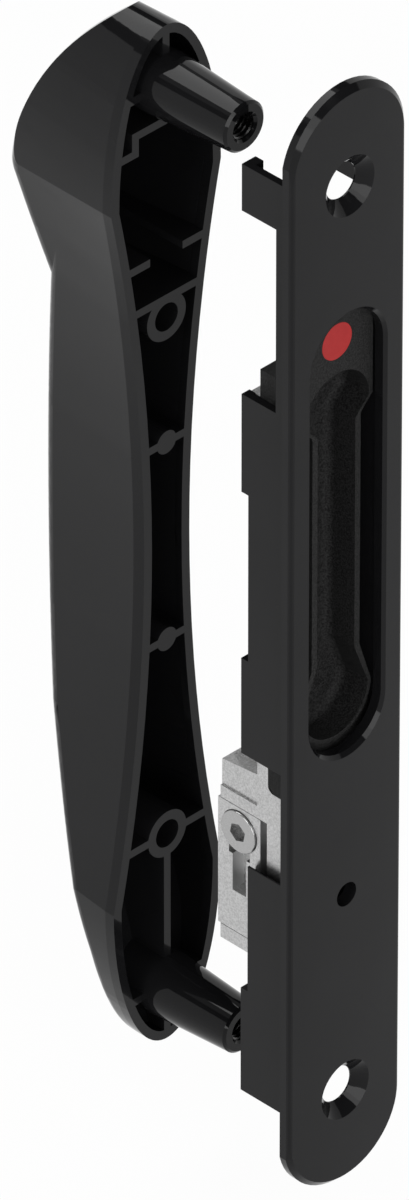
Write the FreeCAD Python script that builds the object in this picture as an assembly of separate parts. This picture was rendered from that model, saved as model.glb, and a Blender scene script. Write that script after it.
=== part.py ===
"""Sliding window lock: flush finger-cup lock body, zinc catch and the pull handle of the other face.

X runs across the plate, Y from the plate's back into the sash, Z up along the plate.
The origin is on the plate's back face, midway between the two screw holes. Sizes in mm.
"""
import FreeCAD
import Part
import math
import os

os.makedirs("parts", exist_ok=True)

# How near an edge must lie to a stated place to be picked out for a round or a bevel
same_spot = 0.0001

# Face plate and its holes
plate_width = 23.0
plate_thickness = 2.2
plate_crown = 0.25
plate_side_round = 0.7
screw_spacing = 160.0
plate_end_radius = 11.8
plate_end_rise = 4.8
plate_end_bevel = 0.95
screw_hole_d = 6.0
countersink_d = 9.9
access_hole_d = 4.0

# Stadium opening in the plate
opening_width = 14.9
opening_bevel = 0.6
opening_top_centre_z = 50.4
opening_centre_spacing = 62.0

# Channel walls behind the plate
channel_width = 18.0
wall_thickness = 1.22
wall_depth = 10.6
wall_mid_depth = 9.2
wall_low_depth = 3.7
lip_reach = 0.39
lip_thickness = 1.26
claw_reach = 1.53
claw_thickness = 1.6
wall_end_overrun = 2.0
top_claw_length = 8.0
top_low_length = 31.7
upper_block_length = 17.1
middle_length = 29.3
lower_block_length = 16.9
catch_gap_length = 19.75
lower_middle_length = 22.6
wall_lead_bevel = 0.9

# Finger-cup slider
travel = 9.0
face_gap = 0.3
side_gap = 0.18
stop_gap = 0.3
flange_thickness = 1.4
flange_overlap = 2.6
cup_wall = 0.65
waist_wall = 1.05
cup_depth = 5.6
cup_floor = 1.3
cup_floor_fillet = 1.4
cup_top_gap = 11.4
cup_bottom_gap = 1.8
waist_half_width = 4.9
upper_neck_height = 2.4
lower_neck_height = 7.2
kink_round = 1.2
guide_depth = 7.9
guide_height = 8.0
foot_height = 8.7
tail_half_width = 6.3
tail_thickness = 2.0
tail_step = 0.9
tail_margin = 2.4

# Red indicator disc
dot_d = 6.0
dot_thickness = 0.6
dot_gap = 0.05
dot_above_cup = 5.6

# Zinc catch block
bar_thickness = 2.3
bar_side_gap = 0.14
bar_top_drop = 0.3
rib_thickness = 2.2
web_half_width = 5.0
nose_depth = 5.7
nose_slope = 0.8
nose_relief = 0.33
block_height = 32.0
shoulder_drop = 0.9
shoulder_fillet = 1.2
block_seat_gap = 0.05
rib_lip_gap = 0.68
access_drop = 2.75

# Catch plate in the block's side pocket
catch_plate_foot = 2.6
catch_plate_drop = 6.8
catch_plate_thickness = 2.4
catch_plate_proud = 0.5
catch_plate_width = 8.7
pocket_gap = 0.1
pocket_front_gap = 1.36
slot_width = 2.8
slot_floor = 7.25
step_width = 4.3
step_length = 4.6

# Clamp screw, drive screw and detent
clamp_head_d = 7.0
clamp_head_height = 1.6
clamp_head_proud = 0.4
clamp_head_round = 0.25
clamp_seat_gap = 0.1
clamp_d = 4.0
clamp_length = 8.0
clamp_from_top = 4.2
clamp_from_rear = 4.4
clamp_hex = 2.8
clamp_hex_depth = 1.1
clamp_hex_turn = 11.0
drive_head_d = 5.2
drive_d = 3.0
drive_length = 9.0
drive_hex = 2.0
drive_hex_depth = 1.0
thread_gap = 0.03
ball_d = 3.0
ball_proud = 0.45
ball_up = 5.8
ball_depth = 5.0
track_depth = 0.5
track_gap = 0.15
spring_wire_d = 0.4
spring_d = 2.5
spring_turns = 6

# Pull handle
handle_stand_off = 34.9
handle_half_length = 90.0
handle_widest_half = 11.1
handle_widest_z = 62.0
handle_waist_half = 4.64
rim_band = 1.8
waist_flare = 0.4
back_waist_half = 3.8
grip_back_half = 7.6
toe_back_half = 8.2
head_back_half = 8.4
head_back_drop = 2.3
collar_half = 3.6
collar_drop = 32.0
collar_back_half = 4.1
collar_back_drop = 2.6
head_depth = 25.6
head_ridge_drop = 2.5
neck_depth = 19.3
neck_drop = 22.0
grip_depth = 21.9
shin_depth = 19.6
shin_z = -35.0
ankle_depth = 9.3
ankle_drop = 10.5
toe_depth = 5.6
toe_from_end = 2.0
head_front_depth = 2.5
head_top_depth = 7.2
head_shoulder_depth = 20.2
ridge_round = 6.0
crest_crown = 20.0
crown_steps = 8
shin_swell = 0.8
heel_depth = 0.5
head_round = 3.4
grip_round = 2.6
shell_wall = 1.6
back_wall = 2.0
rib_thin = 1.35
boss_reach = 16.0
boss_end_d = 8.2
boss_root_d = 10.2
boss_bore_d = 4.2
boss_bore_depth = 15.0
boss_mouth_bevel = 0.4
ring_d = 7.9
ring_bore_d = 4.65
disc_d = 3.9
upper_ring_z = 39.5
lower_ring_z = -52.6
disc_z = 17.5
stub_rib_z = 50.5
stub_rib_inner = 3.3
step_rib_z = 70.7
step_rib_inner = 6.2
step_rib_rise = 3.0

# Places that follow from the sizes above
screw_z = screw_spacing / 2
head_back_z = handle_widest_z - head_back_drop
head_ridge_z = handle_widest_z - head_ridge_drop
neck_z = handle_widest_z - neck_drop
collar_z = handle_widest_z - collar_drop
collar_back_z = collar_z - collar_back_drop
ankle_z = -handle_widest_z - ankle_drop
toe_z = toe_from_end - handle_half_length
plate_half_length = screw_z + plate_end_rise + plate_end_radius
plate_front_y = -plate_thickness
opening_radius = opening_width / 2
opening_bottom_centre_z = opening_top_centre_z - opening_centre_spacing
channel_half = channel_width / 2
channel_inner = channel_half - wall_thickness
wall_top_z = screw_z + wall_end_overrun
upper_block_top_z = wall_top_z - top_claw_length - top_low_length
middle_top_z = upper_block_top_z - upper_block_length
lower_block_top_z = middle_top_z - middle_length
gap_top_z = lower_block_top_z - lower_block_length
gap_bottom_z = gap_top_z - catch_gap_length
bottom_claw_top_z = gap_bottom_z - lower_middle_length
guide_half = channel_inner - side_gap
lip_inner = channel_inner - lip_reach

flange_back_y = face_gap + flange_thickness
cup_radius = opening_radius - face_gap * 0.5 - cup_wall
cup_outer_radius = cup_radius + cup_wall
cup_top_z = opening_top_centre_z + opening_radius - cup_top_gap
cup_upper_centre_z = cup_top_z - cup_radius
cup_lower_centre_z = opening_bottom_centre_z - opening_radius + cup_bottom_gap + cup_radius
cup_floor_y = face_gap + cup_depth
guide_back_y = face_gap + guide_depth
flange_top_z = opening_top_centre_z + opening_radius + flange_overlap
foot_bottom_z = cup_lower_centre_z - cup_outer_radius - foot_height
tail_front_y = face_gap + tail_step
tail_back_y = tail_front_y + tail_thickness

bar_front_y = guide_back_y
bar_back_y = bar_front_y + bar_thickness
bar_half = lip_inner - bar_side_gap
bar_top_z = upper_block_top_z - bar_top_drop
nose_top_z = foot_bottom_z + shoulder_drop - block_seat_gap
nose_relief_height = nose_top_z + travel + stop_gap - gap_top_z
rib_front_y = wall_depth - lip_thickness - rib_thickness - rib_lip_gap
rib_back_y = rib_front_y + rib_thickness
nose_back_y = bar_back_y + nose_depth
block_bottom_z = nose_top_z - block_height
catch_plate_top_z = nose_top_z - catch_plate_drop
catch_plate_bottom_z = block_bottom_z + catch_plate_foot
catch_plate_back_y = nose_back_y + catch_plate_proud
catch_plate_front_y = catch_plate_back_y - catch_plate_width
clamp_z = catch_plate_top_z - clamp_from_top
clamp_y = catch_plate_back_y - clamp_from_rear
access_z = (nose_top_z + block_bottom_z) / 2 - access_drop
tail_bottom_z = block_bottom_z + tail_margin
ball_z = block_bottom_z + ball_up


def point(x, y, z):
    """A point, or a direction, in the part's frame."""
    return FreeCAD.Vector(x, y, z)


def box(x0, x1, y0, y1, z0, z1):
    """A block between two corners."""
    corner = point(min(x0, x1), min(y0, y1), min(z0, z1))
    return Part.makeBox(abs(x1 - x0), abs(y1 - y0), abs(z1 - z0), corner)


def rod(x, y, z, diameter, length, direction):
    """A round rod starting at a point."""
    return Part.makeCylinder(diameter / 2, length, point(x, y, z), direction)


def cone(x, y, z, start_d, end_d, length, direction):
    """A cone frustum starting at a point."""
    return Part.makeCone(start_d / 2, end_d / 2, length, point(x, y, z), direction)


def prism(corners, sweep):
    """A polygon swept along a vector."""
    return Part.Face(Part.makePolygon(corners + [corners[0]])).extrude(sweep)


def hexagon(x, y, z, across_flats, length, direction, turn=0.0):
    """A hexagonal prism, for a driver socket, turned by some degrees."""
    radius = across_flats / math.sqrt(3)
    angles = [math.radians(turn) + i * math.pi / 3 for i in range(6)]
    corners = [point(radius * math.cos(a), radius * math.sin(a), 0) for a in angles]
    solid = prism(corners, point(0, 0, length))
    solid.Placement = FreeCAD.Placement(point(x, y, z), FreeCAD.Rotation(point(0, 0, 1), direction))
    return solid


def mirrored(shape):
    """The same shape on the other side of the centre plane."""
    return shape.mirror(point(0, 0, 0), point(1, 0, 0))


def joined(shapes):
    """One solid made of several that touch or overlap."""
    return shapes[0].multiFuse(shapes[1:]).removeSplitter()


def stadium(half_width, y, top_centre_z, bottom_centre_z):
    """A closed round-ended outline on a plane of constant Y."""
    left_top = point(-half_width, y, top_centre_z)
    right_top = point(half_width, y, top_centre_z)
    right_bottom = point(half_width, y, bottom_centre_z)
    left_bottom = point(-half_width, y, bottom_centre_z)
    return Part.Wire([
        Part.Arc(left_top, point(0, y, top_centre_z + half_width), right_top).toShape(),
        Part.LineSegment(right_top, right_bottom).toShape(),
        Part.Arc(right_bottom, point(0, y, bottom_centre_z - half_width), left_bottom).toShape(),
        Part.LineSegment(left_bottom, left_top).toShape(),
    ])


def stadium_slab(half_width, y0, y1, top_centre_z, bottom_centre_z):
    """A round-ended slab between two depths."""
    return Part.Face(stadium(half_width, y0, top_centre_z, bottom_centre_z)).extrude(point(0, y1 - y0, 0))


def edges_at_depth(shape, y):
    """The edges that lie wholly at one depth."""
    flat = [e for e in shape.Edges if all(abs(v.Y - y) < same_spot for v in e.Vertexes)]
    return [e for e in flat if abs(e.CenterOfMass.y - y) < same_spot]


def edges_along_y(shape):
    """The straight edges that run along Y."""
    return [e for e in shape.Edges if len(e.Vertexes) == 2 and abs(e.tangentAt(e.FirstParameter).y) > 0.999]


def runs_across(edge):
    """Whether an edge is straight and runs along X."""
    return isinstance(edge.Curve, Part.Line) and abs(edge.tangentAt(edge.FirstParameter).x) > 0.999


def plate_blank():
    """The crowned extruded section, trimmed to the bevelled round-ended outline."""
    half = plate_width / 2
    edge_y = plate_front_y + plate_crown
    left = point(-half, edge_y, -plate_half_length)
    right = point(half, edge_y, -plate_half_length)
    back_right = point(half, 0, -plate_half_length)
    back_left = point(-half, 0, -plate_half_length)
    section = Part.Wire([
        Part.Arc(left, point(0, plate_front_y, -plate_half_length), right).toShape(),
        Part.LineSegment(right, back_right).toShape(),
        Part.LineSegment(back_right, back_left).toShape(),
        Part.LineSegment(back_left, left).toShape(),
    ])
    bar = Part.Face(section).extrude(point(0, 0, 2 * plate_half_length))
    front_edges = [e for e in bar.Edges
                   if abs(e.CenterOfMass.y - edge_y) < same_spot and e.Length > plate_half_length]
    bar = bar.makeFillet(plate_side_round, front_edges)
    end_z = screw_z + plate_end_rise
    blank = stadium_slab(plate_end_radius, plate_front_y, 0, end_z, -end_z)
    blank = blank.makeChamfer(plate_end_bevel, edges_at_depth(blank, plate_front_y))
    return bar.common(blank)


def plate_cutters():
    """Countersunk screw holes, access hole and bevelled stadium opening."""
    into = point(0, 1, 0)
    reach = plate_thickness + 2 * face_gap
    start_y = plate_front_y - face_gap
    cutters = [rod(0, start_y, access_z, access_hole_d, reach, into)]
    sink_depth = (countersink_d - screw_hole_d) / 2
    for z in (screw_z, -screw_z):
        cutters.append(rod(0, start_y, z, screw_hole_d, reach, into))
        wide = countersink_d + 2 * face_gap
        cutters.append(cone(0, start_y, z, wide, screw_hole_d, sink_depth + face_gap, into))
    ends = (opening_top_centre_z, opening_bottom_centre_z)
    cutters.append(stadium_slab(opening_radius, start_y, start_y + reach, *ends))
    outer = stadium(opening_radius + opening_bevel, plate_front_y, *ends)
    inner = stadium(opening_radius, plate_front_y + opening_bevel, *ends)
    cutters.append(Part.makeLoft([outer, inner], True, True))
    return cutters


def wall_stretch(z_top, length, depth, reach, thickness):
    """One stretch of the left channel wall, with its inward rear lip where it is deep enough."""
    z0 = z_top - length
    wall = box(-channel_half, -channel_inner, 0, depth, z0, z_top)
    if reach == 0:
        return wall
    lip = box(-channel_inner, -channel_inner + reach, depth - thickness, depth, z0, z_top)
    return wall.fuse(lip)


def channel_wall():
    """The left channel wall, milled down in steps and cut through beside the catch."""
    stretches = [
        (top_claw_length, wall_depth, claw_reach, claw_thickness),
        (top_low_length, wall_low_depth, 0, 0),
        (upper_block_length, wall_depth, lip_reach, lip_thickness),
        (middle_length, wall_mid_depth, 0, 0),
        (lower_block_length, wall_depth, lip_reach, lip_thickness),
        (catch_gap_length, 0, 0, 0),
        (lower_middle_length, wall_mid_depth, 0, 0),
        (bottom_claw_top_z + wall_top_z, wall_depth, claw_reach, claw_thickness),
    ]
    pieces = []
    z = wall_top_z
    for length, depth, reach, thickness in stretches:
        if depth > 0:
            pieces.append(wall_stretch(z, length, depth, reach, thickness))
        z -= length
    wall = pieces[0].multiFuse(pieces[1:])
    return wall.cut(wall_lead())


def wall_lead():
    """The slanted lead-in cut on the wall's end below the catch gap."""
    return prism([
        point(-channel_inner, 0, gap_bottom_z - wall_lead_bevel),
        point(-channel_inner, 0, gap_bottom_z),
        point(-channel_inner - wall_lead_bevel, 0, gap_bottom_z),
    ], point(0, wall_depth, 0))


def detent_track():
    """The shallow groove in the right wall that the detent ball runs in."""
    radius = ball_d / 2 + track_gap
    slab = box(channel_inner, channel_inner + track_depth, ball_depth - radius, ball_depth + radius,
               ball_z, ball_z + travel)
    ends = [rod(channel_inner, ball_depth, z, 2 * radius, track_depth, point(1, 0, 0))
            for z in (ball_z, ball_z + travel)]
    return [slab] + ends


def lock_body():
    """Face plate and channel walls: one extruded and milled profile."""
    wall = channel_wall()
    body = joined([plate_blank(), wall, mirrored(wall)])
    return body.cut(plate_cutters() + detent_track())


def waisted_outline(radius, waist, y):
    """The cup's outline: round top, narrow waist between slanted necks, round foot."""
    upper_slant = upper_neck_height / (cup_outer_radius - waist_half_width)
    top_neck_z = cup_upper_centre_z - (radius - waist) * upper_slant
    low_neck_z = cup_lower_centre_z + lower_neck_height
    upper_left = point(-radius, y, cup_upper_centre_z)
    upper_right = point(radius, y, cup_upper_centre_z)
    lower_left = point(-radius, y, cup_lower_centre_z)
    lower_right = point(radius, y, cup_lower_centre_z)
    right = [upper_right, point(waist, y, top_neck_z), point(waist, y, low_neck_z), lower_right]
    left = [lower_left, point(-waist, y, low_neck_z), point(-waist, y, top_neck_z), upper_left]
    edges = [Part.Arc(upper_left, point(0, y, cup_upper_centre_z + radius), upper_right).toShape()]
    edges += [Part.LineSegment(a, b).toShape() for a, b in zip(right, right[1:])]
    edges.append(Part.Arc(lower_right, point(0, y, cup_lower_centre_z - radius), lower_left).toShape())
    edges += [Part.LineSegment(a, b).toShape() for a, b in zip(left, left[1:])]
    return Part.Wire(edges)


def waisted_slab(radius, waist, y0, y1):
    """The waisted outline swept to a depth, with its kinks rounded."""
    slab = Part.Face(waisted_outline(radius, waist, y0)).extrude(point(0, y1 - y0, 0))
    waist_edges = [e for e in edges_along_y(slab) if abs(abs(e.CenterOfMass.x) - waist) < same_spot]
    return slab.makeFillet(kink_round, waist_edges)


def slider_cup():
    """The moulded slider: head flange, finger cup, guide blocks and tail."""
    cup_back_y = cup_floor_y + cup_floor
    guide_top_z = cup_top_z + cup_wall
    shell = waisted_slab(cup_outer_radius, waist_half_width, face_gap, cup_back_y)
    reach = cup_outer_radius
    low_z = cup_upper_centre_z
    flange = stadium_slab(reach, face_gap, flange_back_y, flange_top_z - reach, low_z)
    flange = flange.common(box(-reach, reach, 0, flange_back_y, low_z, flange_top_z))
    guide = box(-guide_half, guide_half, flange_back_y, guide_back_y, guide_top_z - guide_height, guide_top_z)
    foot = box(-guide_half, guide_half, tail_front_y, rib_front_y, foot_bottom_z, cup_lower_centre_z)
    foot_heel = [e for e in foot.Edges if abs(e.CenterOfMass.y - rib_front_y) < same_spot
                 and abs(e.CenterOfMass.z - foot_bottom_z) < same_spot]
    foot = foot.makeChamfer(shoulder_fillet, foot_heel)
    tail = box(-tail_half_width, tail_half_width, tail_front_y, tail_back_y, tail_bottom_z, foot_bottom_z)
    tail = tail.makeFillet(tail_thickness, [e for e in edges_along_y(tail) if e.CenterOfMass.z < access_z])
    cavity = waisted_slab(cup_radius, waist_half_width - waist_wall, face_gap, cup_floor_y)
    cavity = cavity.makeFillet(cup_floor_fillet, edges_at_depth(cavity, cup_floor_y))
    dot_seat = rod(0, face_gap, dot_centre_z(), dot_d + 2 * dot_gap, dot_thickness, point(0, 1, 0))
    body = joined([shell, flange, guide, foot, tail])
    return body.cut([cavity, dot_seat] + drive_screw_seat())


def dot_centre_z():
    """Height of the red disc, above the cup."""
    return cup_top_z + dot_above_cup


def drive_screw_seat():
    """The countersunk seat for the drive screw in the slider's tail."""
    into = point(0, 1, 0)
    sink = (drive_head_d - drive_d) / 2
    return [
        cone(0, tail_front_y, access_z, drive_head_d + 2 * thread_gap, drive_d + 2 * thread_gap, sink, into),
        rod(0, tail_front_y, access_z, drive_d + 2 * thread_gap, tail_thickness, into),
    ]


def indicator_dot():
    """The red disc that shows the lock's state."""
    return rod(0, face_gap, dot_centre_z(), dot_d, dot_thickness, point(0, 1, 0))


def block_side_profile():
    """The casting seen from the side: shoulder, guide rib, ramped nose and straight rear."""
    rib_top_z = cup_lower_centre_z - cup_outer_radius - face_gap
    shoulder_z = nose_top_z - shoulder_drop
    return [
        point(0, tail_back_y, block_bottom_z),
        point(0, nose_back_y, block_bottom_z),
        point(0, nose_back_y, nose_top_z),
        point(0, rib_back_y, nose_top_z + nose_slope),
        point(0, rib_back_y, rib_top_z),
        point(0, rib_front_y, rib_top_z),
        point(0, rib_front_y, shoulder_z),
        point(0, tail_back_y, shoulder_z),
    ]


def gusset_profile():
    """The narrow web that ties the nose to the drive bar, sloped at the rear."""
    rib_top_z = cup_lower_centre_z - cup_outer_radius - face_gap
    slope_top_z = nose_top_z + nose_back_y - bar_back_y
    return [
        point(0, rib_front_y, nose_top_z),
        point(0, nose_back_y, nose_top_z),
        point(0, bar_back_y, slope_top_z),
        point(0, bar_back_y, rib_top_z),
        point(0, rib_front_y, rib_top_z),
    ]


def swept_across(profile, half_width):
    """A side profile swept across the part, centred on its middle plane."""
    return prism([p + point(-half_width, 0, 0) for p in profile], point(2 * half_width, 0, 0))


def nose_relief_cut():
    """The shallow relief that lets the nose pass between the channel lips."""
    inner = guide_half - nose_relief
    low_z = nose_top_z - nose_relief_height
    return box(-guide_half, -inner, rib_back_y, nose_back_y, low_z, nose_top_z + nose_slope)


def catch_block():
    """The zinc casting: nose, block, guide rib and drive bar."""
    body = swept_across(block_side_profile(), guide_half)
    shoulder_z = nose_top_z - shoulder_drop
    corner = [e for e in body.Edges if abs(e.CenterOfMass.y - rib_front_y) < same_spot
              and abs(e.CenterOfMass.z - shoulder_z) < same_spot]
    body = body.makeFillet(shoulder_fillet, corner)
    gusset = swept_across(gusset_profile(), web_half_width)
    rib_top_z = cup_lower_centre_z - cup_outer_radius - face_gap
    bar = box(-bar_half, bar_half, bar_front_y, bar_back_y, rib_top_z, bar_top_z)
    tongue = box(-web_half_width, web_half_width, rib_front_y, bar_back_y, nose_top_z, rib_top_z)
    solid = joined([body, gusset, tongue, bar])
    relief = nose_relief_cut()
    pocket = box(-guide_half, -guide_half + catch_plate_thickness, catch_plate_front_y - pocket_front_gap,
                 nose_back_y, catch_plate_bottom_z - pocket_gap, catch_plate_top_z + pocket_gap)
    across = point(1, 0, 0)
    clamp_bore = rod(-guide_half, clamp_y, clamp_z, clamp_d + 2 * thread_gap, clamp_length + face_gap, across)
    drive_end_y = tail_front_y + drive_length + face_gap
    drive_bore = rod(0, 0, access_z, drive_d + 2 * thread_gap, drive_end_y, point(0, 1, 0))
    return solid.cut([relief, mirrored(relief), pocket, clamp_bore, drive_bore, detent_bore()])


def detent_bore():
    """The blind bore for the spring and ball in the block's right side."""
    return rod(guide_half - detent_bore_depth(), ball_depth, ball_z, ball_d + 2 * dot_gap,
               detent_bore_depth(), point(1, 0, 0))


def detent_bore_depth():
    """Depth of the detent's bore."""
    return ball_d - ball_proud + spring_turns * spring_wire_d * 2


def catch_plate():
    """The inset plate with its screw seat and stepped slot."""
    outer_x = -guide_half
    across = point(1, 0, 0)
    plate = box(outer_x, outer_x + catch_plate_thickness, catch_plate_front_y, catch_plate_back_y,
                catch_plate_bottom_z, catch_plate_top_z)
    slot_bottom_z = catch_plate_bottom_z + slot_floor
    slot = box(outer_x, outer_x + catch_plate_thickness, clamp_y - slot_width / 2, clamp_y + slot_width / 2,
               slot_bottom_z, clamp_z)
    step = box(outer_x, outer_x + catch_plate_thickness, clamp_y - step_width / 2, clamp_y + step_width / 2,
               clamp_z - step_length, clamp_z)
    hole = rod(outer_x, clamp_y, clamp_z, step_width, catch_plate_thickness, across)
    seat_depth = clamp_head_height - clamp_head_proud
    seat = rod(outer_x, clamp_y, clamp_z, clamp_head_d + 2 * clamp_seat_gap, seat_depth, across)
    return plate.cut([slot, step, hole, seat])


def clamp_screw():
    """Low socket head screw through the catch plate."""
    across = point(1, 0, 0)
    head_x = -guide_half - clamp_head_proud
    head = rod(head_x, clamp_y, clamp_z, clamp_head_d, clamp_head_height, across)
    rim = [e for e in head.Edges if abs(e.CenterOfMass.x - head_x) < same_spot]
    head = head.makeFillet(clamp_head_round, rim)
    shank = rod(head_x, clamp_y, clamp_z, clamp_d, clamp_head_proud + clamp_length, across)
    socket = hexagon(head_x, clamp_y, clamp_z, clamp_hex, clamp_hex_depth, across, clamp_hex_turn)
    return head.fuse(shank).removeSplitter().cut(socket)


def drive_screw():
    """Countersunk screw from the slider's tail into the block."""
    into = point(0, 1, 0)
    sink = (drive_head_d - drive_d) / 2
    head = cone(0, tail_front_y, access_z, drive_head_d, drive_d, sink, into)
    shank = rod(0, tail_front_y, access_z, drive_d, drive_length, into)
    socket = hexagon(0, tail_front_y, access_z, drive_hex, drive_hex_depth, into)
    return head.fuse(shank).removeSplitter().cut(socket)


def detent_ball():
    """Steel ball that clicks into the ends of the track."""
    centre_x = guide_half + ball_proud - ball_d / 2
    return Part.makeSphere(ball_d / 2, point(centre_x, ball_depth, ball_z))


def detent_spring():
    """Coil spring behind the ball."""
    height = detent_bore_depth() - (ball_d - ball_proud)
    radius = (spring_d - spring_wire_d) / 2
    pitch = (height - 2 * spring_wire_d) / spring_turns
    helix = Part.makeHelix(pitch, pitch * spring_turns, radius)
    circle = Part.Wire([Part.Circle(point(radius, 0, 0), point(0, 1, 0), spring_wire_d / 2).toShape()])
    coil = Part.Wire(helix).makePipeShell([circle], True, True)
    start = point(guide_half - detent_bore_depth() + spring_wire_d, ball_depth, ball_z)
    coil.Placement = FreeCAD.Placement(start, FreeCAD.Rotation(point(0, 0, 1), point(1, 0, 0)))
    return coil


def straight(a, b):
    """A straight edge."""
    return Part.LineSegment(a, b).toShape()


def end_arc(y, half, z, end, inset):
    """Half an ellipse over the top end of the handle, or under the bottom end."""
    centre = point(0, y, end * z)
    tip = point(0, y, end * (handle_half_length - inset))
    ellipse = Part.Ellipse(tip, centre + point(half - inset, 0, 0), centre)
    return Part.ArcOfEllipse(ellipse, -math.pi / 2, math.pi / 2).toShape()


def side_arcs(y, high_half, waist, low_half, inset):
    """The concave sides between the widest lines of head and toe."""
    arcs = []
    for side in (1, -1):
        high = point(side * (high_half - inset), y, handle_widest_z)
        low = point(side * (low_half - inset), y, -handle_widest_z)
        arcs.append(Part.Arc(high, point(side * (waist - inset), y, 0), low).toShape())
    return arcs


def closed(edges):
    """A closed wire from edges in any order."""
    return Part.Wire(Part.__sortEdges__(edges))


def rim_outline(depth, flare, inset):
    """The whole hourglass outline in the rim band."""
    y = handle_stand_off + depth
    half = handle_widest_half
    ends = [end_arc(y, half, handle_widest_z, end, inset) for end in (1, -1)]
    return closed(ends + side_arcs(y, half, handle_waist_half + flare, half, inset))


def grip_outline(depth, high_half, waist, low_half, inset):
    """Grip and toe, closed straight across at the head's widest line."""
    y = handle_stand_off + depth
    corner = point(high_half - inset, y, handle_widest_z)
    top = straight(corner, point(-corner.x, y, corner.z))
    low_end = end_arc(y, low_half, handle_widest_z, -1, inset)
    return closed(side_arcs(y, high_half, waist, low_half, inset) + [low_end, top])


def head_outline(depth, half, z, low_half, low_z, inset):
    """The head, whose cheeks run on down and in, so that they sink into the grip."""
    y = handle_stand_off + depth
    high = point(half - inset, y, z)
    low = point(low_half - inset, y, low_z)
    high_left = point(-high.x, y, z)
    low_left = point(-low.x, y, low_z)
    return closed([end_arc(y, half, z, 1, inset), straight(high, low), straight(low, low_left),
                   straight(low_left, high_left)])


def crest_fall(x):
    """How far the crowned crest has fallen at this distance from the middle of the handle."""
    return crest_crown - math.sqrt(crest_crown ** 2 - x ** 2)


def crowned_slab(side_view, wall):
    """The side view carried across the whole width, its crest crowned; side_view gives the edges at one x."""
    reach = handle_widest_half + head_round
    wires = []
    for i in range(crown_steps + 1):
        x = reach * (2 * i / crown_steps - 1)

        def at(z, depth, x=x):
            return point(x, handle_stand_off + depth - crest_fall(x) - wall, z)

        def front(z, x=x):
            return point(x, handle_stand_off - crest_fall(reach), z)

        wires.append(closed(side_view(at, front)))
    return Part.makeLoft(wires, True, False)


def head_view(at, front):
    """Side view of the head: rounded top, ridge, and a straight rear down past the neck."""
    reach = handle_half_length + head_round
    low_z = collar_back_z
    slope = (head_depth - neck_depth) / (head_ridge_z - neck_z)
    top = at(handle_half_length, head_top_depth)
    shoulder = at((handle_half_length + head_ridge_z) / 2, head_shoulder_depth)
    ridge = at(head_ridge_z, head_depth)
    low = at(low_z, neck_depth - slope * (neck_z - low_z))
    return [
        straight(front(low_z), front(reach)),
        straight(front(reach), at(reach, head_front_depth)),
        straight(at(reach, head_front_depth), top),
        Part.Arc(top, shoulder, ridge).toShape(),
        straight(ridge, low),
        straight(low, front(low_z)),
    ]


def head_slab(wall):
    """The head's side view across the width, its ridge rolled over softly."""
    slab = crowned_slab(head_view, wall)
    ridge = [e for e in slab.Edges if all(abs(v.Z - head_ridge_z) < same_spot for v in e.Vertexes)]
    return slab.makeFillet(ridge_round, ridge)


def grip_view(at, front):
    """Side view of the grip: one full curve to the shin, the calf's curve to the ankle, and a thin toe."""
    reach = handle_half_length + grip_round
    palm = at(0, grip_depth)
    shin = at(shin_z, shin_depth)
    calf = at((shin_z + ankle_z) / 2, (shin_depth + ankle_depth) / 2 + shin_swell)
    ankle = at(ankle_z, ankle_depth)
    toe = at(toe_z, toe_depth)
    circle = Part.Arc(at(neck_z, neck_depth), palm, shin).toShape().Curve
    top_z = handle_widest_z + grip_round
    rise = top_z - circle.Center.z
    top = point(palm.x, circle.Center.y + math.sqrt(circle.Radius ** 2 - rise ** 2), top_z)
    return [
        straight(front(top_z), top),
        Part.Arc(top, palm, shin).toShape(),
        Part.Arc(shin, calf, ankle).toShape(),
        straight(ankle, toe),
        straight(toe, at(-reach, heel_depth)),
        straight(at(-reach, heel_depth), front(-reach)),
        straight(front(-reach), front(top_z)),
    ]


def grip_slab(wall):
    """The grip's side view across the width."""
    return crowned_slab(grip_view, wall)


def rim_form(inset):
    """The narrow band beside the base rim, flaring out a little at the waist."""
    return Part.makeLoft([rim_outline(0, 0, inset), rim_outline(rim_band, waist_flare, inset)], True, True)


def head_form(inset, wall):
    """The head behind the rim band, shrunk at its sides by an inset and at its crest by a wall."""
    reach = head_depth + head_round
    base = head_outline(rim_band, handle_widest_half, handle_widest_z, collar_half, collar_z, inset)
    back = head_outline(reach, head_back_half, head_back_z, collar_back_half, collar_back_z, inset)
    return Part.makeLoft([base, back], True, True).common(head_slab(wall))


def grip_form(inset, wall):
    """The grip and toe behind the rim band, shrunk in the same way."""
    waist = handle_waist_half + waist_flare
    base = grip_outline(rim_band, handle_widest_half, waist, handle_widest_half, inset)
    back = grip_outline(head_depth + head_round, grip_back_half, back_waist_half, toe_back_half, inset)
    return Part.makeLoft([base, back], True, True).common(grip_slab(wall))


def rounded_crest(form, radius):
    """A form with its crest edges rounded, its creases left crisp."""
    low_y = handle_stand_off + head_round
    crest = [e for e in form.Edges if min(v.Y for v in e.Vertexes) > low_y and not runs_across(e)
             and min(v.Z for v in e.Vertexes) < handle_widest_z - radius]
    return form.makeFillet(radius, crest)


def handle_body():
    """The solid outer form of the handle: head and grip, each with a rounded crest, on one rim band."""
    head = rounded_crest(head_form(0, 0), head_round)
    grip = rounded_crest(grip_form(0, 0), grip_round)
    rim = rim_form(0).common(head_slab(0).fuse(grip_slab(0)))
    return joined([head, grip, rim])


def handle_cavity():
    """The hollow inside the handle, open at its base."""
    rim = rim_form(shell_wall).common(head_slab(back_wall).fuse(grip_slab(back_wall)))
    return head_form(shell_wall, back_wall).multiFuse([grip_form(shell_wall, back_wall), rim])


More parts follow.
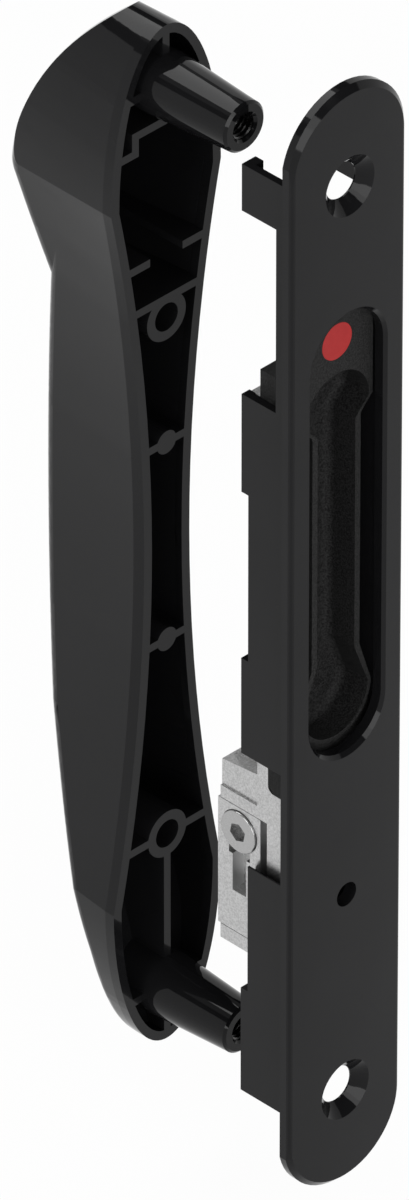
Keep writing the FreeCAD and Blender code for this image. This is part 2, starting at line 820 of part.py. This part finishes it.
def handle_ribs():
    """Cross ribs, centre ribs and the stub and stepped ribs inside the hollow."""
    y0 = handle_stand_off
    y1 = handle_stand_off + head_depth
    wide = handle_widest_half
    half = rib_thin / 2

    def cross(z, x0=-wide, x1=wide):
        return box(x0, x1, y0, y1, z - half, z + half)

    ribs = [cross(z) for z in (upper_ring_z + ring_d / 2 - half, disc_z, -disc_z, lower_ring_z)]
    ribs += [cross(z) for z in (screw_z, -screw_z)]
    ribs.append(box(-half, half, y0, y1, screw_z, handle_half_length))
    ribs.append(box(-half, half, y0, y1, -screw_z, lower_ring_z - ring_d / 2 + half))
    ribs.append(box(-half, half, y0, y1, -handle_half_length, -screw_z))
    for side in (1, -1):
        ribs.append(cross(stub_rib_z, side * stub_rib_inner, side * wide))
        ribs.append(cross(step_rib_z, side * step_rib_inner, side * wide))
        ribs.append(box(side * step_rib_inner - half, side * step_rib_inner + half, y0, y1,
                        step_rib_z - half, step_rib_z + step_rib_rise))
        ribs.append(cross(step_rib_z + step_rib_rise, 0, side * (step_rib_inner + half)))
    return ribs


def handle_rounds():
    """Rings and discs that stand in the hollow."""
    into = point(0, 1, 0)
    y0 = handle_stand_off
    rounds = [rod(0, y0, z, ring_d, head_depth, into) for z in (upper_ring_z, lower_ring_z)]
    rounds += [rod(0, y0, z, disc_d, head_depth, into) for z in (disc_z, -disc_z)]
    return rounds


def boss_roots():
    """The two columns that carry the bosses on through the hollow."""
    return [rod(0, handle_stand_off, z, boss_root_d, head_depth, point(0, 1, 0)) for z in (screw_z, -screw_z)]


def pull_handle():
    """The pull handle: hollow waisted grip with its ribs, rings and discs, one casting with the bosses."""
    outer = handle_body()
    shell = outer.cut(handle_cavity())
    inside = joined(handle_ribs() + handle_rounds()).common(outer)
    into = point(0, 1, 0)
    rings = (upper_ring_z, lower_ring_z)
    bores = [rod(0, handle_stand_off, z, ring_bore_d, ankle_depth, into) for z in rings]
    return shell.fuse(inside.cut(boss_roots() + bores))


def handle_bosses():
    """The casting's two long bosses, from the hollow's floor to their tapped ends."""
    into = point(0, 1, 0)
    end_y = handle_stand_off - boss_reach
    cavity = handle_cavity()
    bosses = []
    for z, root in zip((screw_z, -screw_z), boss_roots()):
        boss = cone(0, end_y, z, boss_end_d, boss_root_d, boss_reach, into)
        mouth = [e for e in boss.Edges if abs(e.CenterOfMass.y - end_y) < same_spot]
        boss = boss.makeChamfer(boss_mouth_bevel, mouth).fuse(root.common(cavity))
        bore = rod(0, end_y, z, boss_bore_d, boss_bore_depth, into)
        lead = cone(0, end_y, z, boss_bore_d + 2 * boss_mouth_bevel, boss_bore_d, boss_mouth_bevel, into)
        bosses.append(boss.cut([bore, lead]).removeSplitter())
    return Part.makeCompound(bosses)


nodes = {
    "lock_body": lock_body,
    "slider_cup": slider_cup,
    "indicator_dot": indicator_dot,
    "catch_block": catch_block,
    "catch_plate": catch_plate,
    "clamp_screw": clamp_screw,
    "drive_screw": drive_screw,
    "detent_ball": detent_ball,
    "detent_spring": detent_spring,
    "pull_handle": pull_handle,
    "handle_bosses": handle_bosses,
}

for name, make in nodes.items():
    shape = make()
    print(name, "solids", len(shape.Solids), "valid", shape.isValid(), "volume", round(shape.Volume, 2))
    shape.exportStep("parts/" + name + ".step")
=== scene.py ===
import math

import bpy
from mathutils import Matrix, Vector


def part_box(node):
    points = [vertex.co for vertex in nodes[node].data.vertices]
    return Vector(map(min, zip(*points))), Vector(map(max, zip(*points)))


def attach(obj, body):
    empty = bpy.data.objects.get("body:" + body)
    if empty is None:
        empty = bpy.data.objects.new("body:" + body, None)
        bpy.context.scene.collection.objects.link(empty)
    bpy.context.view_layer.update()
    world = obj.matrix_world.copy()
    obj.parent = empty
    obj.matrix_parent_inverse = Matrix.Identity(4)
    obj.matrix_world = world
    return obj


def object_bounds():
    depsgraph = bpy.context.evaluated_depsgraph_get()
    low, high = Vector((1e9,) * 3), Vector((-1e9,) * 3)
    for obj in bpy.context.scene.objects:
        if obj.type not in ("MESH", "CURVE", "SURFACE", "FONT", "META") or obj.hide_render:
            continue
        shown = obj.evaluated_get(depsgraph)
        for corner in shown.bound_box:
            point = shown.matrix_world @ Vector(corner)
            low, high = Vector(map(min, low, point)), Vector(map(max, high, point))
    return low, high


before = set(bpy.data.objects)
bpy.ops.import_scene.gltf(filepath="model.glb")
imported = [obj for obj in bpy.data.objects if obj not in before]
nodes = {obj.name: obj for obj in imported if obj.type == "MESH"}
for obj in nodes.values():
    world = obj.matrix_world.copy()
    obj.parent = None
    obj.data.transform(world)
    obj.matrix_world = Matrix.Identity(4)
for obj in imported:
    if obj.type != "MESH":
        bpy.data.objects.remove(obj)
cad_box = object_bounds()


# Lock body: one aluminium extrusion, with the face plate and the channel in
# one, milled to length and shape. Two long screws through the plate's ends fix
# it to the sash and to the pull handle behind.

def linear(hex_colour):
    """One sRGB hex colour as linear red, green, blue and alpha."""
    channels = [int(hex_colour[i:i + 2], 16) / 255 for i in (1, 3, 5)]
    levels = [c / 12.92 if c <= 0.04045 else ((c + 0.055) / 1.055) ** 2.4 for c in channels]
    return levels + [1.0]


def add_node(owner, kind, inputs=None, **settings):
    """Adds one node to a material or a world.

    An input is a value, or a pair of a node and its output's name or number.
    """
    tree = owner.node_tree
    made = tree.nodes.new("ShaderNode" + kind)
    for name, value in settings.items():
        setattr(made, name, value)
    for socket, value in (inputs or {}).items():
        if isinstance(value, tuple) and isinstance(value[0], bpy.types.Node):
            tree.links.new(value[0].outputs[value[1]], made.inputs[socket])
        else:
            made.inputs[socket].default_value = value
    return made


def new_material(name):
    """A node material with an empty tree."""
    material = bpy.data.materials.new(name)
    material.use_nodes = True
    material.node_tree.nodes.clear()
    return material


def paint(piece, material):
    """Gives a piece this one material in each of its slots."""
    if not piece.material_slots:
        piece.data.materials.append(material)
    for material_slot in piece.material_slots:
        material_slot.material = material


MM = 0.001


def per_metre(size_mm):
    """The texture scale at which one pattern cell is this many millimetres."""
    return 1 / (size_mm * MM)


# A Mix node has several inputs named A and B and several outputs named Result,
# so the ones for colours are told apart by their numbers.
mix_a = 6
mix_b = 7
mix_result = 2

# Nearly all values of a noise texture lie between these two.
noise_low = 0.3
noise_high = 0.7

# Stoving lacquer, sprayed on after machining. The eye sees a deep black with
# clear, sharp reflections and a faint orange peel. The specular level is far
# below a lacquer's 0.5, because the floor and walls that it mirrors are white.
lacquer_peel_mm = 0.9
lacquer_film_mm = 14.0
lacquer_roughness = (0.04, 0.07)
lacquer_tones = ("#0F0F10", "#161617")
lacquer = new_material("black_stoved_lacquer")
lacquer_place = add_node(lacquer, "TexCoord")
lacquer_peel = add_node(lacquer, "TexNoise", {
    "Vector": (lacquer_place, "Object"), "Scale": per_metre(lacquer_peel_mm),
    "Detail": 2.0, "Roughness": 0.45})
lacquer_film = add_node(lacquer, "TexNoise", {
    "Vector": (lacquer_place, "Object"), "Scale": per_metre(lacquer_film_mm),
    "Detail": 3.0, "Roughness": 0.5})
lacquer_gloss = add_node(lacquer, "MapRange", {
    "Value": (lacquer_film, "Fac"), "From Min": noise_low, "From Max": noise_high,
    "To Min": lacquer_roughness[0], "To Max": lacquer_roughness[1]})
lacquer_tone = add_node(lacquer, "Mix", {
    "Factor": (lacquer_film, "Fac"),
    mix_a: linear(lacquer_tones[0]), mix_b: linear(lacquer_tones[1])}, data_type="RGBA")
lacquer_bump = add_node(lacquer, "Bump", {
    "Height": (lacquer_peel, "Fac"), "Strength": 0.03, "Distance": 0.05 * MM})
lacquer_shader = add_node(lacquer, "BsdfPrincipled", {
    "Base Color": (lacquer_tone, mix_result), "Roughness": (lacquer_gloss, "Result"),
    "Normal": (lacquer_bump, "Normal"), "IOR": 1.5, "Specular IOR Level": 0.135})
add_node(lacquer, "OutputMaterial", {"Surface": (lacquer_shader, "BSDF")})
paint(nodes["lock_body"], lacquer)


# Slider: one injection moulding in black glass-filled nylon, with a finger cup
# below its head. It snaps into the channel from the back, and its tail carries
# the catch block.

# Nylon from a spark eroded mould. The eye sees a dull, finely grained dark
# grey. The real grain is finer than 0.1 mm and is drawn at 0.26 mm, so that it
# shows. The specular level is low for the same reason as the lacquer's.
nylon_grain_mm = 0.26
nylon_pit_range = (0.38, 0.62)
nylon_roughness = (0.5, 0.65)
nylon_tones = ("#111111", "#2A2A2A")
nylon = new_material("black_textured_nylon")
nylon_place = add_node(nylon, "TexCoord")
nylon_grain = add_node(nylon, "TexNoise", {
    "Vector": (nylon_place, "Object"), "Scale": per_metre(nylon_grain_mm),
    "Detail": 3.0, "Roughness": 0.6})
nylon_pits = add_node(nylon, "MapRange", {
    "Value": (nylon_grain, "Fac"), "From Min": nylon_pit_range[0],
    "From Max": nylon_pit_range[1], "To Min": 0.0, "To Max": 1.0})
nylon_gloss = add_node(nylon, "MapRange", {
    "Value": (nylon_grain, "Fac"), "From Min": noise_low, "From Max": noise_high,
    "To Min": nylon_roughness[0], "To Max": nylon_roughness[1]})
nylon_tone = add_node(nylon, "Mix", {
    "Factor": (nylon_pits, "Result"),
    mix_a: linear(nylon_tones[0]), mix_b: linear(nylon_tones[1])}, data_type="RGBA")
nylon_bump = add_node(nylon, "Bump", {
    "Height": (nylon_grain, "Fac"), "Strength": 0.6, "Distance": 0.1 * MM})
nylon_shader = add_node(nylon, "BsdfPrincipled", {
    "Base Color": (nylon_tone, mix_result), "Roughness": (nylon_gloss, "Result"),
    "Normal": (nylon_bump, "Normal"), "IOR": 1.5, "Specular IOR Level": 0.07})
add_node(nylon, "OutputMaterial", {"Surface": (nylon_shader, "BSDF")})
paint(nodes["slider_cup"], nylon)


# Indicator dot: a red disc moulded in acetal and pressed into the slider's
# head, so that it shows in the opening only when the lock is open.

# Moulded acetal. The eye sees an even, slightly waxy red with a soft shine.
acetal_cloud_mm = 0.8
acetal_tones = ("#901E1E", "#9E2626")
acetal = new_material("red_moulded_acetal")
acetal_place = add_node(acetal, "TexCoord")
acetal_cloud = add_node(acetal, "TexNoise", {
    "Vector": (acetal_place, "Object"), "Scale": per_metre(acetal_cloud_mm), "Detail": 3.0})
acetal_tone = add_node(acetal, "Mix", {
    "Factor": (acetal_cloud, "Fac"),
    mix_a: linear(acetal_tones[0]), mix_b: linear(acetal_tones[1])}, data_type="RGBA")
acetal_bump = add_node(acetal, "Bump", {
    "Height": (acetal_cloud, "Fac"), "Strength": 0.1, "Distance": 0.03 * MM})
acetal_shader = add_node(acetal, "BsdfPrincipled", {
    "Base Color": (acetal_tone, mix_result), "Roughness": 0.4,
    "Normal": (acetal_bump, "Normal"), "IOR": 1.48, "Specular IOR Level": 0.15})
add_node(acetal, "OutputMaterial", {"Surface": (acetal_shader, "BSDF")})
paint(nodes["indicator_dot"], acetal)


# Catch block: a zinc pressure die casting that runs in the channel behind the
# slider's tail and holds the keep on the fixed sash with its nose. The catch
# plate is a flat zinc insert, clamped in the block's side.

# Tumbled zinc with its front faces milled. The eye sees a pale grey with dark
# specks. The faces that face the front (-Y) get a brighter, even tone: the milling
# is real, but the brightness is painted light from the front. The real specks are
# finer than 0.1 mm and are drawn at 0.3 mm, so that they show.
zinc_grain_mm = 0.3
zinc_cloud_mm = 3.0
zinc_speck_range = (0.36, 0.64)
zinc_cloud_share = 0.3
zinc_roughness = (0.30, 0.38)
zinc_cast_tones = ("#A0A0A0", "#CCCCCC")
# Painted light: the brighter tone given to the faces that face the front, as if lit from
# there.
zinc_front_lit_tone = "#E6E6E6"
zinc_front_lit_facing = (-0.9, -0.98)
zinc = new_material("tumbled_zinc_casting")
zinc_place = add_node(zinc, "TexCoord")
zinc_grain = add_node(zinc, "TexNoise", {
    "Vector": (zinc_place, "Object"), "Scale": per_metre(zinc_grain_mm),
    "Detail": 3.0, "Roughness": 0.6})
zinc_cloud = add_node(zinc, "TexNoise", {
    "Vector": (zinc_place, "Object"), "Scale": per_metre(zinc_cloud_mm), "Detail": 2.0})
zinc_specks = add_node(zinc, "MapRange", {
    "Value": (zinc_grain, "Fac"), "From Min": zinc_speck_range[0],
    "From Max": zinc_speck_range[1], "To Min": 0.0, "To Max": 1.0})
zinc_mottle = add_node(zinc, "Mix", {
    "Factor": zinc_cloud_share,
    mix_a: (zinc_specks, "Result"), mix_b: (zinc_cloud, "Fac")}, data_type="RGBA")
zinc_cast = add_node(zinc, "Mix", {
    "Factor": (zinc_mottle, mix_result),
    mix_a: linear(zinc_cast_tones[0]), mix_b: linear(zinc_cast_tones[1])}, data_type="RGBA")
zinc_faces = add_node(zinc, "SeparateXYZ", {"Vector": (zinc_place, "Normal")})
# Mask of the faces that face the front (-Y), which are painted brighter, as if lit from the
# front.
zinc_front_lit_mask = add_node(zinc, "MapRange", {
    "Value": (zinc_faces, "Y"), "From Min": zinc_front_lit_facing[0],
    "From Max": zinc_front_lit_facing[1], "To Min": 0.0, "To Max": 1.0})
zinc_tone = add_node(zinc, "Mix", {
    "Factor": (zinc_front_lit_mask, "Result"),
    mix_a: (zinc_cast, mix_result), mix_b: linear(zinc_front_lit_tone)}, data_type="RGBA")
zinc_gloss = add_node(zinc, "MapRange", {
    "Value": (zinc_grain, "Fac"), "From Min": noise_low, "From Max": noise_high,
    "To Min": zinc_roughness[0], "To Max": zinc_roughness[1]})
zinc_bump = add_node(zinc, "Bump", {
    "Height": (zinc_grain, "Fac"), "Strength": 0.2, "Distance": 0.05 * MM})
zinc_shader = add_node(zinc, "BsdfPrincipled", {
    "Base Color": (zinc_tone, mix_result), "Roughness": (zinc_gloss, "Result"),
    "Normal": (zinc_bump, "Normal"), "Metallic": 1.0})
add_node(zinc, "OutputMaterial", {"Surface": (zinc_shader, "BSDF")})
for zinc_piece in ("catch_block", "catch_plate"):
    paint(nodes[zinc_piece], zinc)


# Screws, ball and spring: zinc-plated steel, cold headed, ground or coiled.
# One screw clamps the catch plate, one holds the block on the slider's tail,
# and the sprung ball holds the slider at both ends of its travel.

# Bright zinc plating on steel. The eye sees an even, light grey metal with
# soft reflections. Its fine marks are drawn at 0.5 mm, coarser than real.
steel_marks_mm = 0.5
steel_roughness = (0.22, 0.28)
steel_tones = ("#A2A2A2", "#B0B0B0")
steel = new_material("bright_plated_steel")
steel_place = add_node(steel, "TexCoord")
steel_marks = add_node(steel, "TexNoise", {
    "Vector": (steel_place, "Object"), "Scale": per_metre(steel_marks_mm),
    "Detail": 3.0, "Roughness": 0.6})
steel_tone = add_node(steel, "Mix", {
    "Factor": (steel_marks, "Fac"),
    mix_a: linear(steel_tones[0]), mix_b: linear(steel_tones[1])}, data_type="RGBA")
steel_gloss = add_node(steel, "MapRange", {
    "Value": (steel_marks, "Fac"), "From Min": noise_low, "From Max": noise_high,
    "To Min": steel_roughness[0], "To Max": steel_roughness[1]})
steel_shader = add_node(steel, "BsdfPrincipled", {
    "Base Color": (steel_tone, mix_result), "Roughness": (steel_gloss, "Result"),
    "Metallic": 1.0})
add_node(steel, "OutputMaterial", {"Surface": (steel_shader, "BSDF")})
for steel_piece in ("clamp_screw", "drive_screw", "detent_ball", "detent_spring"):
    paint(nodes[steel_piece], steel)


# Pull handle: one hollow aluminium pressure die casting, with ribs, rings and
# two tapped bosses inside. The lock body's two long screws hold it from the
# other side of the sash.

# The same lacquer on a cast surface. The eye sees the same deep black, with a
# longer and softer orange peel.
casting_peel_mm = 1.4
casting_film_mm = 20.0
casting_roughness = (0.03, 0.05)
casting_tones = ("#0F0F10", "#161617")
casting = new_material("black_lacquered_casting")
casting_place = add_node(casting, "TexCoord")
casting_peel = add_node(casting, "TexNoise", {
    "Vector": (casting_place, "Object"), "Scale": per_metre(casting_peel_mm),
    "Detail": 2.0, "Roughness": 0.45})
casting_film = add_node(casting, "TexNoise", {
    "Vector": (casting_place, "Object"), "Scale": per_metre(casting_film_mm),
    "Detail": 3.0, "Roughness": 0.5})
casting_gloss = add_node(casting, "MapRange", {
    "Value": (casting_film, "Fac"), "From Min": noise_low, "From Max": noise_high,
    "To Min": casting_roughness[0], "To Max": casting_roughness[1]})
casting_tone = add_node(casting, "Mix", {
    "Factor": (casting_film, "Fac"),
    mix_a: linear(casting_tones[0]), mix_b: linear(casting_tones[1])}, data_type="RGBA")
casting_bump = add_node(casting, "Bump", {
    "Height": (casting_peel, "Fac"), "Strength": 0.03, "Distance": 0.05 * MM})
casting_shader = add_node(casting, "BsdfPrincipled", {
    "Base Color": (casting_tone, mix_result), "Roughness": (casting_gloss, "Result"),
    "Normal": (casting_bump, "Normal"), "IOR": 1.5, "Specular IOR Level": 0.15})
add_node(casting, "OutputMaterial", {"Surface": (casting_shader, "BSDF")})
for cast_piece in ("pull_handle", "handle_bosses"):
    paint(nodes[cast_piece], casting)


# Threads in the two bosses: M5, cut with a tap from the boss's mouth after
# lacquering. Each stands in its plain bore as one spiral ridge, whose foot is
# sunk in the wall of the bore.

# Freshly tapped aluminium. The eye sees a dull grey metal with brighter
# crests. Its chatter marks are drawn at 0.4 mm, coarser than real.
tapped_chatter_mm = 0.4
tapped_roughness = (0.2, 0.35)
tapped_tones = ("#4A4A4A", "#606060")
tapped = new_material("tapped_aluminium_thread")
tapped_place = add_node(tapped, "TexCoord")
tapped_chatter = add_node(tapped, "TexNoise", {
    "Vector": (tapped_place, "Object"), "Scale": per_metre(tapped_chatter_mm), "Detail": 2.0})
tapped_tone = add_node(tapped, "Mix", {
    "Factor": (tapped_chatter, "Fac"),
    mix_a: linear(tapped_tones[0]), mix_b: linear(tapped_tones[1])}, data_type="RGBA")
tapped_gloss = add_node(tapped, "MapRange", {
    "Value": (tapped_chatter, "Fac"), "From Min": noise_low, "From Max": noise_high,
    "To Min": tapped_roughness[0], "To Max": tapped_roughness[1]})
tapped_shader = add_node(tapped, "BsdfPrincipled", {
    "Base Color": (tapped_tone, mix_result), "Roughness": (tapped_gloss, "Result"),
    "Metallic": 1.0})
add_node(tapped, "OutputMaterial", {"Surface": (tapped_shader, "BSDF")})

thread_pitch = 0.8 * MM
thread_turns = 14
thread_steps = 40
thread_lead_in = 0.7 * MM
bore_radius = 2.1 * MM
crest_height = 0.24 * MM
crest_half_width = 0.06 * MM
foot_depth = 0.2 * MM
foot_half_width = 0.3 * MM
ridge_end_sides = 4
merge_distance = 0.001 * MM
smooth_angle = math.radians(30)
screw_spacing = 160 * MM
boss_mouth_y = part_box("handle_bosses")[0].y

bpy.ops.object.select_all(action="DESELECT")
bpy.ops.mesh.primitive_plane_add(size=1.0, location=(0, 0, 0))
upper_thread = bpy.context.object
upper_thread.name = "upper_boss_thread"
for corner in upper_thread.data.vertices:
    side = 1 if corner.co.y > 0 else -1
    if corner.co.x > 0:
        corner.co = (bore_radius + foot_depth, 0, side * foot_half_width)
    else:
        corner.co = (bore_radius - crest_height, 0, side * crest_half_width)
spiral = upper_thread.modifiers.new("spiral", "SCREW")
spiral.axis = "Z"
spiral.screw_offset = thread_pitch
spiral.iterations = thread_turns
spiral.steps = thread_steps
spiral.render_steps = thread_steps
bpy.ops.object.modifier_apply(modifier=spiral.name)
bpy.ops.object.mode_set(mode="EDIT")
bpy.ops.mesh.select_all(action="SELECT")
bpy.ops.mesh.remove_doubles(threshold=merge_distance)
bpy.ops.mesh.fill_holes(sides=ridge_end_sides)
bpy.ops.mesh.normals_make_consistent(inside=False)
bpy.ops.object.mode_set(mode="OBJECT")
upper_thread.rotation_euler = (-math.pi / 2, 0, 0)
upper_thread.location = (0, boss_mouth_y + thread_lead_in, screw_spacing / 2)
bpy.ops.object.transform_apply(location=True, rotation=True, scale=True)
bpy.ops.object.shade_smooth_by_angle(angle=smooth_angle)
paint(upper_thread, tapped)
bpy.ops.object.duplicate()
lower_thread = bpy.context.object
lower_thread.name = "lower_boss_thread"
lower_thread.location = (0, 0, -screw_spacing)
bpy.ops.object.transform_apply(location=True, rotation=True, scale=True)
for thread in (upper_thread, lower_thread):
    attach(thread, "sash_side")


# Floor: a pale studio floor below the lock, which isn't part of the object.
# The camera and reflections see it nearly pure white, and for all other light
# it is a matt floor that throws light up at the lock.
floor_size = 30.0
floor_drop = 0.012
floor_white_share = 0.95
bpy.ops.mesh.primitive_plane_add(size=floor_size, location=(0, 0, cad_box[0].z - floor_drop))
floor = bpy.context.object
floor.name = "floor"
floor_paint = new_material("pale_studio_floor")
floor_rays = add_node(floor_paint, "LightPath")
floor_seen = add_node(floor_paint, "Math", {
    0: (floor_rays, "Is Camera Ray"), 1: (floor_rays, "Is Glossy Ray")}, operation="MAXIMUM")
floor_seen_through = add_node(floor_paint, "Math", {
    0: (floor_seen, "Value"), 1: (floor_rays, "Is Transmission Ray")}, operation="MAXIMUM")
floor_share = add_node(floor_paint, "Math", {
    0: (floor_seen_through, "Value"), 1: floor_white_share}, operation="MULTIPLY")
floor_matt = add_node(floor_paint, "BsdfDiffuse", {"Color": linear("#E4E4E4")})
floor_glow = add_node(floor_paint, "Emission", {"Color": linear("#FFFFFF"), "Strength": 1.0})
floor_both = add_node(floor_paint, "MixShader", {
    "Fac": (floor_share, "Value"), 1: (floor_matt, "BSDF"), 2: (floor_glow, "Emission")})
add_node(floor_paint, "OutputMaterial", {"Surface": (floor_both, "Shader")})
paint(floor, floor_paint)


# Studio: a white room with a dark band high on its walls and a pale ceiling,
# which the black pieces mirror as their greys and their black stripes. Heights
# in the room are the upward part of a unit direction.
band_foot = (0.45, 0.48)
ceiling_edge = (0.66, 0.69)
studio = bpy.data.worlds.new("studio")
bpy.context.scene.world = studio
studio.use_nodes = True
studio.node_tree.nodes.clear()
room_place = add_node(studio, "TexCoord")
room_height = add_node(studio, "SeparateXYZ", {"Vector": (room_place, "Generated")})
band_fade = add_node(studio, "MapRange", {
    "Value": (room_height, "Z"), "From Min": band_foot[0], "From Max": band_foot[1],
    "To Min": 0.0, "To Max": 1.0}, interpolation_type="SMOOTHSTEP")
room_walls = add_node(studio, "Mix", {
    "Factor": (band_fade, "Result"),
    mix_a: linear("#FFFFFF"), mix_b: linear("#1A1A1A")}, data_type="RGBA")
ceiling_fade = add_node(studio, "MapRange", {
    "Value": (room_height, "Z"), "From Min": ceiling_edge[0], "From Max": ceiling_edge[1],
    "To Min": 0.0, "To Max": 1.0}, interpolation_type="SMOOTHSTEP")
room_tone = add_node(studio, "Mix", {
    "Factor": (ceiling_fade, "Result"),
    mix_a: (room_walls, mix_result), mix_b: linear("#B4B4B4")}, data_type="RGBA")
room_light = add_node(studio, "Background", {
    "Color": (room_tone, mix_result), "Strength": 1.0})
add_node(studio, "OutputWorld", {"Surface": (room_light, "Background")})


# Soft boxes: a tall one in front, a narrower one at the left, and one behind
# and above that draws the bright stripes along the bosses. All of them face
# the frame's origin, in the middle of the plate's back.
lamp_aim = Vector((0, 0, 0))


def soft_box(name, place, width, height, watts):
    """One rectangular area light that faces the lock."""
    lamp = bpy.data.lights.new(name, "AREA")
    lamp.shape = "RECTANGLE"
    lamp.size = width
    lamp.size_y = height
    lamp.energy = watts
    holder = bpy.data.objects.new(name, lamp)
    bpy.context.scene.collection.objects.link(holder)
    holder.location = place
    holder.rotation_mode = "QUATERNION"
    holder.rotation_quaternion = (lamp_aim - Vector(place)).to_track_quat("-Z", "Y")


soft_box("front_soft_box", place=(-0.62, -1.5, 0.5), width=0.9, height=1.4, watts=18)
soft_box("side_soft_box", place=(-1.7, -0.1, 0.9), width=0.6, height=1.0, watts=9)
soft_box("back_soft_box", place=(0.0, 0.87, 1.2), width=1.1, height=0.6, watts=9)


# Camera: a long lens from the front left and above, almost without
# perspective, as the photograph shows the lock. Its direction is close to a
# straight isometric view.
camera_lens_mm = 560.0
camera_film_mm = 36.0
camera_reach = 30.0
camera_place = Vector((-1.56652, -1.54317, 1.56176))
camera_back = Vector((-0.57666, -0.57805, 0.57735))
camera_data = bpy.data.cameras.new("camera")
camera_data.lens = camera_lens_mm
camera_data.sensor_width = camera_film_mm
camera_data.clip_end = camera_reach
camera = bpy.data.objects.new("camera", camera_data)
bpy.context.scene.collection.objects.link(camera)
camera.location = camera_place
camera.rotation_mode = "QUATERNION"
camera.rotation_quaternion = (-camera_back).to_track_quat("-Z", "Y")
bpy.context.scene.camera = camera
bpy.context.scene.view_settings.view_transform = "Standard"
